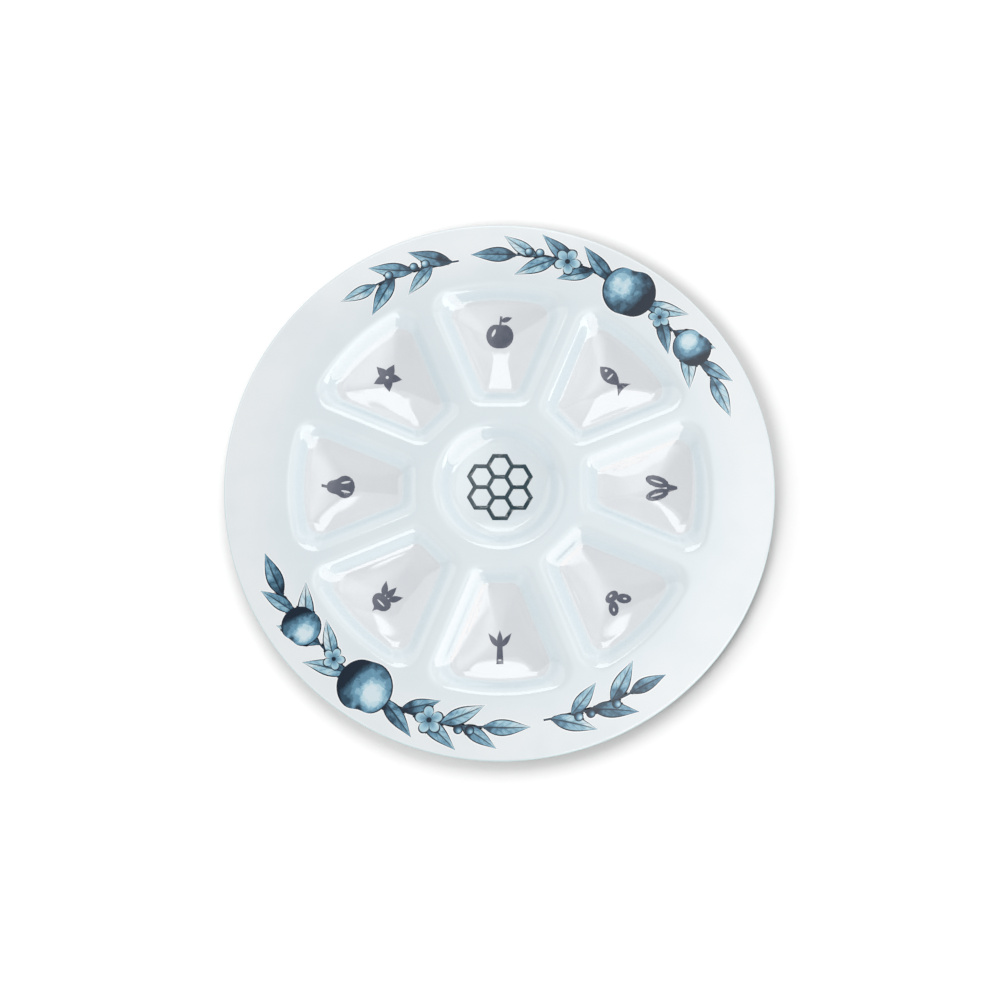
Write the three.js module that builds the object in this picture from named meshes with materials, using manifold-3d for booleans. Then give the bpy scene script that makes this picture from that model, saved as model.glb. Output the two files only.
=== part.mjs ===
// A round glass festival plate: eight wedge-shaped food pockets round a centre well,
// a flat rim, and the fired prints that lie on its face.
// Millimetres, +Z up. The origin is on the table, under the plate's centre.
// The pocket at twelve o'clock lies along +Y.

import * as THREE from 'three';
import { mergeVertices } from 'three/addons/utils/BufferGeometryUtils.js';
import Module from 'manifold-3d';

const wasm = await Module();
wasm.setup();

// The sheet of glass
const plateDiameter = 350;
const glassThickness = 4;
const edgeChamfer = 1;

// The eight pockets and the well in the middle; their straight sides bow outwards a hair
const pocketCount = 8;
const rimWidth = 41;
const ridgeWidth = 9;
const wellDiameter = 82;
const ringWidth = 12;
const outerCornerRadius = 13;
const innerCornerRadius = 9;
const cornerShrink = 0.03;
const sideBow = 0.15;

// The wall steepens from the ridge's crest to its steepest place, then eases off to its foot
const wallWidth = 12.5;
const steepestInset = 6.5;
const wallSlope = THREE.MathUtils.degToRad(38.5);
const footSlope = THREE.MathUtils.degToRad(11);
const lipPower = 1.5;
const lipShare = 0.4;

// The floors sag a little, rounder towards their middle; each pocket stands on a round flat
const pocketSag = 2.3;
const wellSag = 1.2;
const floorMiddleShare = 0.543;
const floorRounding = 0.8;
const roundingPower = 0.6;
const footRadius = 8;
const footFlat = 0.4;

// The prints: skins a little way off the glass
const printGap = 0.3;
const printThickness = 0.4;
const fieldInset = 9.5;
const signSize = 21;
const signOffset = 6;
const signGap = 0.6;
const cellPitch = 13.6;
const cellStroke = 2.6;

// The garlands on the rim: a stem with a big apple in its middle and a spray of leaves each way.
// They are drawn for a stem at drawnRadius and then scaled to lie garlandMargin from the edge;
// the offsets are lengths along the stem.
const drawnRadius = 154;
const garlandMargin = 21;
const garlandWave = 2;
const waveLength = 25.7;
const garlandMiddle = THREE.MathUtils.degToRad(57);
const sprigMiddle = THREE.MathUtils.degToRad(114);
const stemWidth = 1.3;
const leafLength = 30;
const leafWidth = 10.5;
const smallLeafShare = 0.86;
const leafPitch = 13;
const leafBendShare = 0.07;
const outerLean = THREE.MathUtils.degToRad(20.6);
const innerLean = THREE.MathUtils.degToRad(31.5);
const garlandLeaves = 6;
const sprigLeaves = 5;
const firstLeafOffset = 13.1;
const stemTail = 4.6;
const appleRadius = 17.5;
const smallAppleRadius = 12.5;
const smallAppleOffset = -55.4;
const appleLean = THREE.MathUtils.degToRad(17.2);
const blossomRadius = 9.5;
const blossomOffset = 44.7;
const budRadius = 7.5;
const budOffset = -26.2;
const berryRadius = 3;
const garlandBerries = [63.1, 70.1];
const sprigBerries = [-15.4, -7.7, 9.2];

// How finely the curves are divided
const cornerSteps = 3;
const flankSteps = 3;
const outerArcSteps = 6;
const wellSteps = 32;
const rimSteps = 96;
const leafSteps = 8;
const fruitSteps = 24;
const blossomSteps = 30;
const berrySteps = 10;
const stemStep = 8;
const depthSteps = 60;
const leastEdge = 0.02;

// The rings of the wall, over and under the glass, as shares of its width, and the floor's
const wallShares = [0.06, 0.3, 0.55];
const underShares = [0.2, 0.5, 0.78];
const floorShares = [0.6, 0.28];

const plateRadius = plateDiameter / 2;
const wellRadius = wellDiameter / 2;
const pocketOuter = plateRadius - rimWidth;
const pocketInner = wellRadius + ringWidth;
const floorMiddle = THREE.MathUtils.lerp(pocketInner, pocketOuter, floorMiddleShare);
const halfAngle = Math.PI / pocketCount;
const lipRun = lipShare * ridgeWidth;

// Slope of the wall at a distance in from the mouth line
function slopeAt(inset) {
  const rise = THREE.MathUtils.smoothstep(inset, -ridgeWidth / 2, steepestInset) ** lipPower;
  const fall = THREE.MathUtils.smoothstep(inset, steepestInset, wallWidth);
  return wallSlope * rise - (wallSlope - footSlope) * fall;
}

// Depth of the wall at a distance in from the mouth line
function wallDepth(inset) {
  const step = (inset + lipRun) / depthSteps;
  let depth = 0;
  for (let i = 0; i < depthSteps; i += 1) {
    depth += Math.tan(slopeAt(-lipRun + (i + 0.5) * step)) * step;
  }
  return depth;
}

const wallDrop = wallDepth(wallWidth);
const topHeight = wallDrop + pocketSag + glassThickness - footFlat;

function wallHeight(inset) {
  return topHeight - wallDepth(inset);
}

function floorHeight(share, sag) {
  return topHeight - wallDrop - sag * (1 - share ** 2);
}

// One half of a rounded wedge about +X, from the middle of its outer arc to its inner end
function halfWedge(inset) {
  const outer = pocketOuter - inset;
  const inner = pocketInner + inset;
  const side = ridgeWidth / 2 + inset;
  const outerRound = outerCornerRadius * (1 - cornerShrink * inset);
  const innerRound = innerCornerRadius * (1 - cornerShrink * inset);
  const flankNormal = Math.PI / 2 + halfAngle;
  const points = [];

  const reach = outer - outerRound;
  const turn = halfAngle - Math.asin((side + outerRound) / reach);
  for (let i = 0; i < outerArcSteps / 2; i += 1) {
    const angle = turn * i / (outerArcSteps / 2);
    points.push([outer * Math.cos(angle), outer * Math.sin(angle)]);
  }
  const outerX = reach * Math.cos(turn);
  const outerY = reach * Math.sin(turn);
  for (let i = 0; i <= cornerSteps; i += 1) {
    const angle = THREE.MathUtils.lerp(turn, flankNormal, i / cornerSteps);
    points.push([outerX + outerRound * Math.cos(angle), outerY + outerRound * Math.sin(angle)]);
  }
  const innerX = inner + innerRound;
  const innerY = (innerX * Math.sin(halfAngle) - side - innerRound) / Math.cos(halfAngle);
  const corner = [];
  for (let i = 0; i <= cornerSteps; i += 1) {
    const angle = THREE.MathUtils.lerp(flankNormal, Math.PI, i / cornerSteps);
    corner.push([innerX + innerRound * Math.cos(angle), innerY + innerRound * Math.sin(angle)]);
  }
  const start = points[points.length - 1];
  for (let i = 1; i < flankSteps; i += 1) {
    const share = i / flankSteps;
    const bow = 4 * sideBow * share * (1 - share);
    points.push([
      THREE.MathUtils.lerp(start[0], corner[0][0], share) + bow * Math.cos(flankNormal),
      THREE.MathUtils.lerp(start[1], corner[0][1], share) + bow * Math.sin(flankNormal),
    ]);
  }
  return [...points, ...corner];
}

// The whole wedge, anticlockwise, from the middle of its outer arc
function wedgeRing(inset) {
  const half = halfWedge(inset);
  const inner = [pocketInner + inset - sideBow, 0];
  const mirrored = half.slice(1).reverse().map(([x, y]) => [x, -y]);
  return [...half, inner, ...mirrored];
}

// The oval that the floor's outlines near towards its middle: its reach out, in and sideways
const ovalOut = pocketOuter - wallWidth - floorMiddle;
const ovalIn = floorMiddle - pocketInner - wallWidth;
const ovalSide = (floorMiddle * Math.sin(halfAngle) - ridgeWidth / 2 - wallWidth)
  / Math.cos(halfAngle);

// The wedge at the foot of the wall, shrunk and rounded towards the floor's middle
function floorRing(share) {
  const round = floorRounding * (1 - share) ** roundingPower;
  return wedgeRing(wallWidth).map(([x, y]) => {
    const reach = x > floorMiddle ? ovalOut : ovalIn;
    const angle = Math.atan2(y / ovalSide, (x - floorMiddle) / reach);
    const along = THREE.MathUtils.lerp(x - floorMiddle, reach * Math.cos(angle), round);
    const across = THREE.MathUtils.lerp(y, ovalSide * Math.sin(angle), round);
    return [floorMiddle + along * share, across * share];
  });
}

// A round pad under the floor, with its points in line with the wedge's
function footRing() {
  return wedgeRing(wallWidth).map(([x, y]) => {
    const angle = Math.atan2(y, x - floorMiddle);
    return [floorMiddle + footRadius * Math.cos(angle), footRadius * Math.sin(angle)];
  });
}

function circleRing(radius, count) {
  const ring = [];
  for (let i = 0; i < count; i += 1) {
    const angle = 2 * Math.PI * i / count;
    ring.push([radius * Math.cos(angle), radius * Math.sin(angle)]);
  }
  return ring;
}

function turned([x, y], angle) {
  return [x * Math.cos(angle) - y * Math.sin(angle), x * Math.sin(angle) + y * Math.cos(angle)];
}

// A closed surface built ring by ring
class Surface {
  constructor() {
    this.positions = [];
    this.faces = [];
  }

  point(x, y, z) {
    this.positions.push(x, y, z);
    return this.positions.length / 3 - 1;
  }

  ring(points, angle, height) {
    return points.map((point) => this.point(...turned(point, angle), height));
  }

  face(a, b, c, up) {
    this.faces.push(...(up ? [a, b, c] : [a, c, b]));
  }

  strip(outer, inner, up) {
    for (let i = 0; i < outer.length; i += 1) {
      const j = (i + 1) % outer.length;
      this.face(outer[i], outer[j], inner[j], up);
      this.face(outer[i], inner[j], inner[i], up);
    }
  }

  fan(ring, middle, up) {
    for (let i = 0; i < ring.length; i += 1) {
      this.face(ring[i], ring[(i + 1) % ring.length], middle, up);
    }
  }

  // Fills the level sheet between an outer ring and the rings of its holes
  sheet(outer, holes, up) {
    const flat = (ids) => ids.map((id) => new THREE.Vector2(
      this.positions[3 * id],
      this.positions[3 * id + 1],
    ));
    const ids = [...outer, ...holes.flat()];
    const places = flat(ids);
    for (const [a, b, c] of THREE.ShapeUtils.triangulateShape(flat(outer), holes.map(flat))) {
      const one = places[b].clone().sub(places[a]);
      const two = places[c].clone().sub(places[a]);
      const order = one.cross(two) > 0 ? [ids[a], ids[b], ids[c]] : [ids[a], ids[c], ids[b]];
      this.face(...order, up);
    }
  }

  geometry() {
    const geometry = new THREE.BufferGeometry();
    geometry.setAttribute('position', new THREE.Float32BufferAttribute(this.positions, 3));
    geometry.setIndex(this.faces);
    geometry.computeVertexNormals();
    return geometry;
  }
}

const wallInsets = [
  -lipRun,
  ...wallShares.map((share) => share * wallWidth),
  fieldInset,
  wallWidth,
];
const underInsets = [-lipRun, ...underShares.map((share) => share * wallWidth), wallWidth];

function dish(surface, angle, { ringAt, floorRingAt, middle, sag, foot }) {
  const levels = [
    ...wallInsets.map((inset) => surface.ring(ringAt(inset), angle, wallHeight(inset))),
    ...floorShares.map((share) => surface.ring(
      floorRingAt(share),
      angle,
      floorHeight(share, sag),
    )),
  ];
  const [deepest] = surface.ring([[middle, 0]], angle, floorHeight(0, sag));
  for (let i = 1; i < levels.length; i += 1) {
    surface.strip(levels[i - 1], levels[i], true);
  }
  surface.fan(levels[levels.length - 1], deepest, true);

  const under = underInsets.map((inset) => surface.ring(
    ringAt(inset),
    angle,
    wallHeight(inset) - glassThickness / Math.cos(slopeAt(inset)),
  ));
  const footHeight = Math.max(0, floorHeight(0, sag) - glassThickness);
  under.push(surface.ring(foot, angle, footHeight));
  const [footMiddle] = surface.ring([[middle, 0]], angle, footHeight);
  for (let i = 1; i < under.length; i += 1) {
    surface.strip(under[i - 1], under[i], false);
  }
  surface.fan(under[under.length - 1], footMiddle, false);
  return [levels[0], under[0]];
}

function glassPlate() {
  const surface = new Surface();
  const holes = [];
  for (let i = 0; i < pocketCount; i += 1) {
    holes.push(dish(surface, 2 * halfAngle * i, {
      ringAt: wedgeRing,
      floorRingAt: floorRing,
      middle: floorMiddle,
      sag: pocketSag,
      foot: footRing(),
    }));
  }
  const wellRing = (share) => circleRing((wellRadius - wallWidth) * share, wellSteps);
  holes.push(dish(surface, 0, {
    ringAt: (inset) => circleRing(wellRadius - inset, wellSteps),
    floorRingAt: wellRing,
    middle: 0,
    sag: wellSag,
    foot: wellRing(floorShares[1]),
  }));
  const inner = circleRing(plateRadius - edgeChamfer, rimSteps);
  const outer = circleRing(plateRadius, rimSteps);
  const bottomHeight = topHeight - glassThickness;
  const edge = [
    surface.ring(inner, 0, topHeight),
    surface.ring(outer, 0, topHeight - edgeChamfer),
    surface.ring(outer, 0, bottomHeight + edgeChamfer),
    surface.ring(inner, 0, bottomHeight),
  ];
  for (let i = 1; i < edge.length; i += 1) {
    surface.strip(edge[i], edge[i - 1], true);
  }
  surface.sheet(edge[0], holes.map(([top]) => top), true);
  surface.sheet(edge[3], holes.map(([, bottom]) => bottom), false);
  return surface.geometry();
}

// The pale grey print on one pocket's floor, which follows the glass under it
function fieldPrint(angle) {
  const surface = new Surface();
  const skins = [printGap + printThickness, printGap].map((lift) => {
    const wallLevels = wallInsets.filter((inset) => inset >= fieldInset)
      .map((inset) => surface.ring(wedgeRing(inset), angle, wallHeight(inset) + lift));
    const floorLevels = floorShares.map((share) => surface.ring(
      floorRing(share),
      angle,
      floorHeight(share, pocketSag) + lift,
    ));
    const [middle] = surface.ring([[floorMiddle, 0]], angle, floorHeight(0, pocketSag) + lift);
    return { levels: [...wallLevels, ...floorLevels], middle };
  });
  skins.forEach(({ levels, middle }, side) => {
    for (let i = 1; i < levels.length; i += 1) {
      surface.strip(levels[i - 1], levels[i], side === 0);
    }
    surface.fan(levels[levels.length - 1], middle, side === 0);
  });
  surface.strip(skins[1].levels[0], skins[0].levels[0], true);
  return surface.geometry();
}

// Flat outlines for the prints

function outline(points) {
  return new THREE.Shape(points.map(([x, y]) => new THREE.Vector2(x, y)));
}

function ellipse(x, y, across, up, lean = 0) {
  const shape = new THREE.Shape();
  shape.absellipse(x, y, across, up, 0, 2 * Math.PI, false, lean);
  return shape;
}

// A leaf from its stalk along +X; bend lifts its tip
function leafPoints(length, width, bend = 0) {
  const points = [];
  const edge = (share, side) => {
    const half = width / 2 * Math.sin(Math.PI * share ** 0.75) ** 1.15;
    return [length * share, bend * length * share ** 2 + side * half];
  };
  for (let i = 0; i <= leafSteps; i += 1) {
    points.push(edge(i / leafSteps, -1));
  }
  for (let i = leafSteps - 1; i > 0; i -= 1) {
    points.push(edge(i / leafSteps, 1));
  }
  return points;
}

function applePoints(radius) {
  const points = [];
  for (let i = 0; i < fruitSteps; i += 1) {
    const angle = 2 * Math.PI * i / fruitSteps;
    const fromTop = Math.abs(angle - Math.PI / 2) / 0.38;
    const fromBase = Math.abs(angle - 3 * Math.PI / 2) / 0.35;
    const size = radius * (1 - 0.16 * Math.exp(-(fromTop ** 2)) - 0.07 * Math.exp(-(fromBase ** 2)));
    points.push([size * Math.cos(angle), size * Math.sin(angle)]);
  }
  return points;
}

function blossomPoints(radius) {
  const points = [];
  for (let i = 0; i < blossomSteps; i += 1) {
    const angle = 2 * Math.PI * i / blossomSteps;
    const size = radius * (0.5 + 0.5 * Math.abs(Math.cos(2.5 * angle)) ** 0.7);
    points.push([size * Math.cos(angle), size * Math.sin(angle)]);
  }
  return points;
}

function moved(points, x, y, angle) {
  return points.map((point) => {
    const [a, b] = turned(point, angle);
    return [a + x, b + y];
  });
}

// Eight food signs, drawn drawnSignSize tall and upright on +Y: what is joined, then what is cut
const drawnSignSize = 18;
const signs = {
  dates: () => {
    const fruit = (side) => ellipse(3.7 * side, -2, 3.2, 6.6, 0.3 * side);
    const slit = (side) => ellipse(3.7 * side, -2.2, 0.55, 3.6, 0.3 * side);
    const stalk = outline([[-2.6, 3.2], [2.6, 3.2], [0.8, 9], [-0.8, 9]]);
    return { parts: [fruit(-1), fruit(1), stalk], cuts: [slit(-1), slit(1)] };
  },
  fish: () => {
    const body = new THREE.Shape();
    body.moveTo(-9.5, 0);
    body.quadraticCurveTo(-3, 7.5, 4.5, 0.9);
    body.lineTo(9.5, 5);
    body.quadraticCurveTo(7.4, 0, 9.5, -5);
    body.lineTo(4.5, -0.9);
    body.quadraticCurveTo(-3, -7.5, -9.5, 0);
    return { parts: [body], cuts: [ellipse(-5.6, 0.8, 0.8, 0.8), ellipse(-1.6, 0, 0.5, 2.4)] };
  },
  apple: () => ({
    parts: [
      outline(moved(applePoints(7.6), 0, -1.6, 0)),
      outline([[-0.6, 3.6], [0.7, 3.6], [1.5, 9.6], [0.2, 9.8]]),
      outline(moved(leafPoints(6.6, 3), 0.8, 6.8, 0.35)),
    ],
    cuts: [ellipse(-3.4, 0.2, 0.8, 2.4, -0.4)],
  }),
  seeds: () => {
    const drop = moved(leafPoints(8.8, 5), -0.4, 0, 0);
    const parts = [];
    for (let i = 0; i < 5; i += 1) {
      parts.push(outline(moved(drop, 0, 0, Math.PI / 2 + 2 * Math.PI * i / 5)));
    }
    return { parts, cuts: [ellipse(0, 0, 0.9, 0.9)] };
  },
  gourd: () => {
    const body = new THREE.Shape();
    body.moveTo(0, 6.4);
    body.bezierCurveTo(4.4, 6.4, 3.4, 1.8, 4.6, 0.4);
    body.bezierCurveTo(8.6, -3.4, 5.4, -9, 0, -9);
    body.bezierCurveTo(-5.4, -9, -8.6, -3.4, -4.6, 0.4);
    body.bezierCurveTo(-3.4, 1.8, -4.4, 6.4, 0, 6.4);
    const stalk = outline([[-0.8, 5.6], [0.8, 5.6], [1.4, 9.2], [-0.2, 9.2]]);
    return {
      parts: [body, stalk],
      cuts: [ellipse(-2.6, -4, 0.6, 2.6, -0.2), ellipse(2.6, -4, 0.6, 2.6, 0.2)],
    };
  },
  beet: () => {
    const root = new THREE.Shape();
    root.moveTo(-3, 1.6);
    root.bezierCurveTo(-7.4, 0, -6, -5.4, -1.6, -6.4);
    root.quadraticCurveTo(-0.5, -7, 0, -9.4);
    root.quadraticCurveTo(0.5, -7, 1.6, -6.4);
    root.bezierCurveTo(6, -5.4, 7.4, 0, 3, 1.6);
    root.closePath();
    const leaf = (x, lean) => outline(moved(leafPoints(8.6, 3.6), x, 1, Math.PI / 2 + lean));
    return {
      parts: [root, leaf(0, 0), leaf(-1.6, 0.62), leaf(1.6, -0.62)],
      cuts: [ellipse(0, -2.6, 2.8, 0.5)],
    };
  },
  leek: () => {
    const stem = outline([[-1.9, -9.2], [1.9, -9.2], [1.4, 1.6], [-1.4, 1.6]]);
    const leaf = (x, lean) => outline(moved(leafPoints(9.2, 3), x, 0.2, Math.PI / 2 + lean));
    return {
      parts: [stem, leaf(0, 0), leaf(-0.9, 0.62), leaf(0.9, -0.62)],
      cuts: [ellipse(0, -7, 1, 0.4)],
    };
  },
  beans: () => {
    const bean = (x, y, lean) => ellipse(x, y, 4.2, 2.7, lean);
    const eye = (x, y, lean) => ellipse(x, y + 0.3, 1.1, 0.55, lean);
    return {
      parts: [bean(-3.9, -2.6, 0.9), bean(3.9, -2.6, -0.9), bean(0, 2.6, 0)],
      cuts: [eye(-4.3, -3.4, 0.9), eye(4.3, -3.4, -0.9), eye(0, 3, 0)],
    };
  },
};

// The order of the signs, anticlockwise from three o'clock
const signOrder = ['dates', 'fish', 'apple', 'seeds', 'gourd', 'beet', 'leek', 'beans'];

function solidOf(geometry) {
  const bare = geometry.clone();
  bare.deleteAttribute('normal');
  bare.deleteAttribute('uv');
  const merged = mergeVertices(bare, 1e-3);
  return new wasm.Manifold(new wasm.Mesh({
    numProp: 3,
    vertProperties: new Float32Array(merged.attributes.position.array),
    triVerts: new Uint32Array(merged.index.array),
  }));
}

// A flat outline as a solid, printThickness thick or as thick as a cutter has to be
function flatSolid(shape, spare = 0) {
  const geometry = new THREE.ExtrudeGeometry(shape, {
    depth: printThickness + 2 * spare,
    bevelEnabled: false,
    curveSegments: 6,
  });
  geometry.translate(0, 0, -spare);
  return solidOf(geometry);
}

function joined(parts, cuts = []) {
  const solid = parts.map((shape) => flatSolid(shape)).reduce((sum, part) => sum.add(part));
  return cuts.reduce((left, shape) => left.subtract(flatSolid(shape, 1)), solid).simplify(leastEdge);
}

// Height of the face at a place, taken a hair off the seams between its facets
const glass = new THREE.Mesh(glassPlate());
const plumb = new THREE.Raycaster();
const seamOffset = new THREE.Vector3(0.0037, 0.0021, 2 * topHeight);

function faceHeight(x, y) {
  plumb.set(new THREE.Vector3(x, y, 0).add(seamOffset), new THREE.Vector3(0, 0, -1));
  return plumb.intersectObject(glass)[0].point.z;
}

// A flat print laid over the face, lift above it
function laid(solid, place, lift) {
  const mesh = solid.getMesh();
  const geometry = new THREE.BufferGeometry();
  const positions = [];
  for (let i = 0; i < mesh.vertProperties.length; i += 3) {
    const [x, y] = place([mesh.vertProperties[i], mesh.vertProperties[i + 1]]);
    positions.push(x, y, mesh.vertProperties[i + 2] + faceHeight(x, y) + lift);
  }
  geometry.setAttribute('position', new THREE.Float32BufferAttribute(positions, 3));
  geometry.setIndex(new THREE.BufferAttribute(mesh.triVerts, 1));
  geometry.computeVertexNormals();
  return geometry;
}

// The signs of the lower three pockets stand with their tops towards the well
function foodSign(name, index) {
  const axis = 2 * halfAngle * index;
  const reads = Math.sin(axis) < -0.1 ? Math.PI / 2 : -Math.PI / 2;
  const scale = signSize / drawnSignSize;
  const place = ([x, y]) => {
    const [a, b] = turned([x * scale, y * scale], reads);
    return turned([a + floorMiddle + signOffset, b], axis);
  };
  const { parts, cuts } = signs[name]();
  return laid(joined(parts, cuts), place, printGap + printThickness + signGap);
}

// Seven open cells of a honeycomb that share their walls
function honeycomb() {
  const hexagon = (x, y, across) => {
    const corner = across / Math.sqrt(3);
    const points = [];
    for (let i = 0; i < 6; i += 1) {
      const angle = Math.PI * i / 3;
      points.push([x + corner * Math.cos(angle), y + corner * Math.sin(angle)]);
    }
    return outline(points);
  };
  const middles = [[0, 0]];
  for (let i = 0; i < 6; i += 1) {
    const angle = Math.PI / 6 + Math.PI * i / 3;
    middles.push([cellPitch * Math.cos(angle), cellPitch * Math.sin(angle)]);
  }
  const solid = joined(
    middles.map(([x, y]) => hexagon(x, y, cellPitch + cellStroke)),
    middles.map(([x, y]) => hexagon(x, y, cellPitch - cellStroke)),
  );
  return laid(solid, (point) => point, signGap);
}

// Garlands: a waving stem round the rim, leaves on both sides, apples and blossoms
const garlandScale = (plateRadius - garlandMargin) / drawnRadius;
const turnOf = (length) => length / drawnRadius;
const leafTurn = turnOf(leafPitch);

function stemRadiusAt(angle, middle) {
  return drawnRadius + garlandWave * Math.sin((angle - middle) * drawnRadius / waveLength);
}

function stem(start, end, middle) {
  const count = Math.ceil((end - start) * drawnRadius / stemStep);
  const sideOf = (side) => {
    const points = [];
    for (let i = 0; i <= count; i += 1) {
      const angle = THREE.MathUtils.lerp(start, end, i / count);
      const radius = stemRadiusAt(angle, middle) + side * stemWidth / 2;
      points.push([radius * Math.cos(angle), radius * Math.sin(angle)]);
    }
    return points;
  };
  return outline([...sideOf(1), ...sideOf(-1).reverse()]);
}

// A figure's outline at an angle round the rim, with its +Y pointing outwards
function onRim(points, angle, radius, lean = 0) {
  const facing = angle - Math.PI / 2 + lean;
  return outline(moved(points, radius * Math.cos(angle), radius * Math.sin(angle), facing));
}

// Leaves on both sides of the stem from an angle on, the last one along the stem;
// way is 1 anticlockwise and -1 clockwise
function spray(start, way, count, middle) {
  const parts = [];
  for (let i = 0; i < count; i += 1) {
    const angle = start + way * i * leafTurn;
    const side = i % 2 === 0 ? 1 : -1;
    const reach = side === 1 ? outerLean : -innerLean;
    const lean = i === count - 1 ? 0 : reach;
    const size = i % 3 === 1 ? smallLeafShare : 1;
    const points = leafPoints(leafLength * size, leafWidth * size, -way * side * leafBendShare);
    parts.push(onRim(points, angle, stemRadiusAt(angle, middle), way === 1 ? Math.PI - lean : lean));
  }
  return parts;
}

function berry(offset, middle) {
  const angle = middle + turnOf(offset);
  const radius = stemRadiusAt(angle, middle) + berryRadius - stemWidth / 2;
  return onRim(circleRing(berryRadius, berrySteps), angle, radius);
}

function rimPrint(parts) {
  return laid(joined(parts), (point) => point.map((value) => value * garlandScale), printGap);
}

function garland(middle) {
  const first = turnOf(firstLeafOffset);
  const reach = first + (garlandLeaves - 1) * leafTurn + turnOf(stemTail);
  const fruit = (radius, offset) => onRim(
    applePoints(radius),
    middle + turnOf(offset),
    drawnRadius,
    appleLean,
  );
  const blossom = (radius, offset) => {
    const angle = middle + turnOf(offset);
    return onRim(blossomPoints(radius), angle, stemRadiusAt(angle, middle));
  };
  return rimPrint([
    stem(middle - reach, middle + reach, middle),
    ...spray(middle + first, 1, garlandLeaves, middle),
    ...spray(middle - first, -1, garlandLeaves, middle),
    fruit(appleRadius, 0),
    fruit(smallAppleRadius, smallAppleOffset),
    blossom(blossomRadius, blossomOffset),
    blossom(budRadius, budOffset),
    ...garlandBerries.map((offset) => berry(offset, middle)),
  ]);
}

function sprig(middle) {
  const reach = sprigLeaves * leafTurn / 2;
  const tail = turnOf(stemTail);
  return rimPrint([
    stem(middle - reach - tail, middle + reach - leafTurn + tail, middle),
    ...spray(middle - reach, 1, sprigLeaves, middle),
    ...sprigBerries.map((offset) => berry(offset, middle)),
  ]);
}

// The finishes
const finish = (color, roughness) => new THREE.MeshStandardMaterial({
  color,
  roughness,
  metalness: 0,
});
const glassFinish = finish(0xe0e9ec, 0.08);
const fieldFinish = finish(0xdcdfe2, 0.1);
const signFinish = finish(0x5f6473, 0.12);
const emblemFinish = finish(0x2d4650, 0.12);
const garlandFinish = finish(0x4f7f9c, 0.12);

const plate = new THREE.Group();

function add(name, geometry, material) {
  const mesh = new THREE.Mesh(geometry, material);
  mesh.name = name;
  plate.add(mesh);
}

add('glass_plate', glass.geometry, glassFinish);
signOrder.forEach((name, index) => {
  add(`field_print_${index + 1}`, fieldPrint(2 * halfAngle * index), fieldFinish);
  add(`sign_${name}`, foodSign(name, index), signFinish);
});
add('honeycomb_emblem', honeycomb(), emblemFinish);
add('garland_upper_right', garland(garlandMiddle), garlandFinish);
add('garland_lower_left', garland(garlandMiddle + Math.PI), garlandFinish);
add('sprig_upper_left', sprig(sprigMiddle), garlandFinish);
add('sprig_lower_right', sprig(sprigMiddle + Math.PI), garlandFinish);

export default plate;
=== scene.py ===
# %% [markdown]
# # A glass festival plate
#
# The real object is one sheet of white-backed glass, cut round and slumped over a mould while soft: eight
# wedge-shaped food pockets stand round a well, inside a flat rim, and the decoration is fired onto it.
# The lesson sets up the camera and the studio first, then shapes the glass, then lays the prints on it
# and mixes the finishes.

import math
import random

import bmesh
import bpy
from mathutils import Matrix, Vector
from mathutils.bvhtree import BVHTree


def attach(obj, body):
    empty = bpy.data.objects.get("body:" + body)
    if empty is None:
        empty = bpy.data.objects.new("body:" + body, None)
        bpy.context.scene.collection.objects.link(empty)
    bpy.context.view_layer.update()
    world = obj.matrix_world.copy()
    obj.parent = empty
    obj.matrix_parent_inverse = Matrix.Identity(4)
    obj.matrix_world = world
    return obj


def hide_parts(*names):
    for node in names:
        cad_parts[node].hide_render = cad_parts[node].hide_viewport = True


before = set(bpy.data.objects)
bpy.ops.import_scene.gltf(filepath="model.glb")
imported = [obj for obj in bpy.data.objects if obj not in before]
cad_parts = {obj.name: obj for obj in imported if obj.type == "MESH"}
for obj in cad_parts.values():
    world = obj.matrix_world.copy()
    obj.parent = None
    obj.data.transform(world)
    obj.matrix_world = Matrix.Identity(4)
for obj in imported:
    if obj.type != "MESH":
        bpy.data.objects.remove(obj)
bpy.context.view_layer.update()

# %% [markdown]
# ## The sizes
#
# Blender works in metres, so every size is a number of millimetres times MM. The rim and the ridges lie
# level; the wall of a pocket steepens from the ridge's crest to its steepest place and then eases off to
# the floor, which sags a little.

# %% Name the sizes
MM = 0.001
PLATE_RADIUS = 175 * MM
GLASS_THICKNESS = 4 * MM
POCKETS = 8
HALF_ANGLE = math.pi / POCKETS
POCKET_INNER = 53 * MM
POCKET_OUTER = 134 * MM
FLOOR_MIDDLE = POCKET_INNER + 0.543 * (POCKET_OUTER - POCKET_INNER)
WELL_RADIUS = 41 * MM
RIDGE_WIDTH = 9 * MM
OUTER_CORNER = 13 * MM
INNER_CORNER = 9 * MM
CORNER_SHRINK = 0.03 / MM
WALL_WIDTH = 12.5 * MM
STEEPEST_INSET = 6.5 * MM
WALL_SLOPE = math.radians(38.5)
FOOT_SLOPE = math.radians(11)
LIP_POWER = 1.5
LIP_RUN = 0.4 * RIDGE_WIDTH
POCKET_SAG = 2.3 * MM
WELL_SAG = 1.2 * MM
FOOT_FLAT = 0.4 * MM
FIELD_INSET = 9.5 * MM


def smooth(value, low, high):
    """0 below low, 1 above high, and an even rise between them."""
    share = min(1, max(0, (value - low) / (high - low)))
    return share * share * (3 - 2 * share)


def wall_slope(inset):
    rise = smooth(inset, -RIDGE_WIDTH / 2, STEEPEST_INSET) ** LIP_POWER
    return WALL_SLOPE * rise - (WALL_SLOPE - FOOT_SLOPE) * smooth(inset, STEEPEST_INSET, WALL_WIDTH)


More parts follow.
